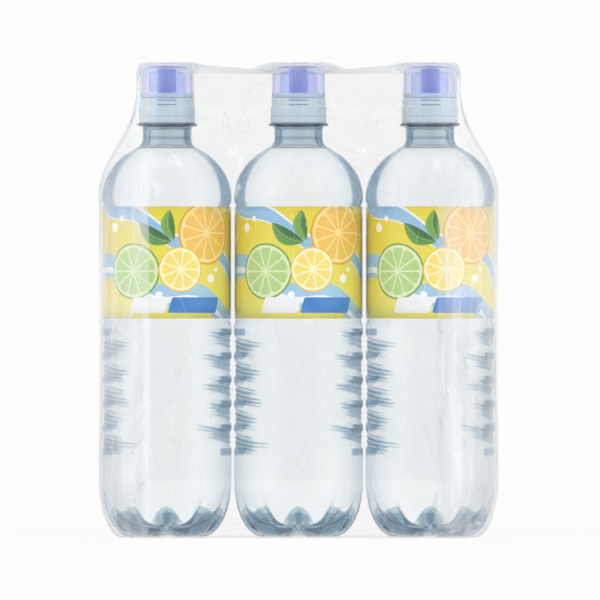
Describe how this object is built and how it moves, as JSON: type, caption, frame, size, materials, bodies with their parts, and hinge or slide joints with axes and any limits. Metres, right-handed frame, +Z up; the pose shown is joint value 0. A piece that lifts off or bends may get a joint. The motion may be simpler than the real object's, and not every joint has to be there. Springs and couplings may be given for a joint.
{
  "type": "shrink-wrapped pack of water bottles",
  "caption": "Clear plastic bottles of flavoured water with sports caps and citrus labels, standing close together in a clear shrink film sleeve.",
  "frame": {"origin": "on the ground under the middle of the pack", "axes": "+X to the right along the row of three bottles as the labels are read, -Y towards the viewer who sees the labels, +Z up along the bottles"},
  "size_m": [0.2204, 0.147, 0.2618],
  "materials": {
    "bottle_plastic": "clear blown PET, glossy",
    "drink": "clear still water",
    "label": "printed plastic wrap label, yellow, sky blue, green and orange fields",
    "collar_plastic": "moulded polypropylene, milky pale blue",
    "spout_plastic": "moulded polypropylene, violet blue",
    "cover_plastic": "clear moulded plastic with a faint lavender tint",
    "film": "clear polyethylene shrink film, glossy with soft creases"
  },
  "bodies": {
    "root": {"bottle_front_left": "bottle_plastic", "bottle_front_middle": "bottle_plastic", "bottle_front_right": "bottle_plastic", "bottle_back_left": "bottle_plastic", "bottle_back_middle": "bottle_plastic", "bottle_back_right": "bottle_plastic", "drink_front_left": "drink", "drink_front_middle": "drink", "drink_front_right": "drink", "drink_back_left": "drink", "drink_back_middle": "drink", "drink_back_right": "drink", "label_front_left": "label", "label_front_middle": "label", "label_front_right": "label", "label_back_left": "label", "label_back_middle": "label", "label_back_right": "label", "collar_front_left": "collar_plastic", "collar_front_middle": "collar_plastic", "collar_front_right": "collar_plastic", "collar_back_left": "collar_plastic", "collar_back_middle": "collar_plastic", "collar_back_right": "collar_plastic", "spout_front_left": "spout_plastic", "spout_front_middle": "spout_plastic", "spout_front_right": "spout_plastic", "spout_back_left": "spout_plastic", "spout_back_middle": "spout_plastic", "spout_back_right": "spout_plastic", "dust_cover_front_left": "cover_plastic", "dust_cover_front_middle": "cover_plastic", "dust_cover_front_right": "cover_plastic", "dust_cover_back_left": "cover_plastic", "dust_cover_back_middle": "cover_plastic", "dust_cover_back_right": "cover_plastic", "film": "film"}
  },
  "joints": []
}
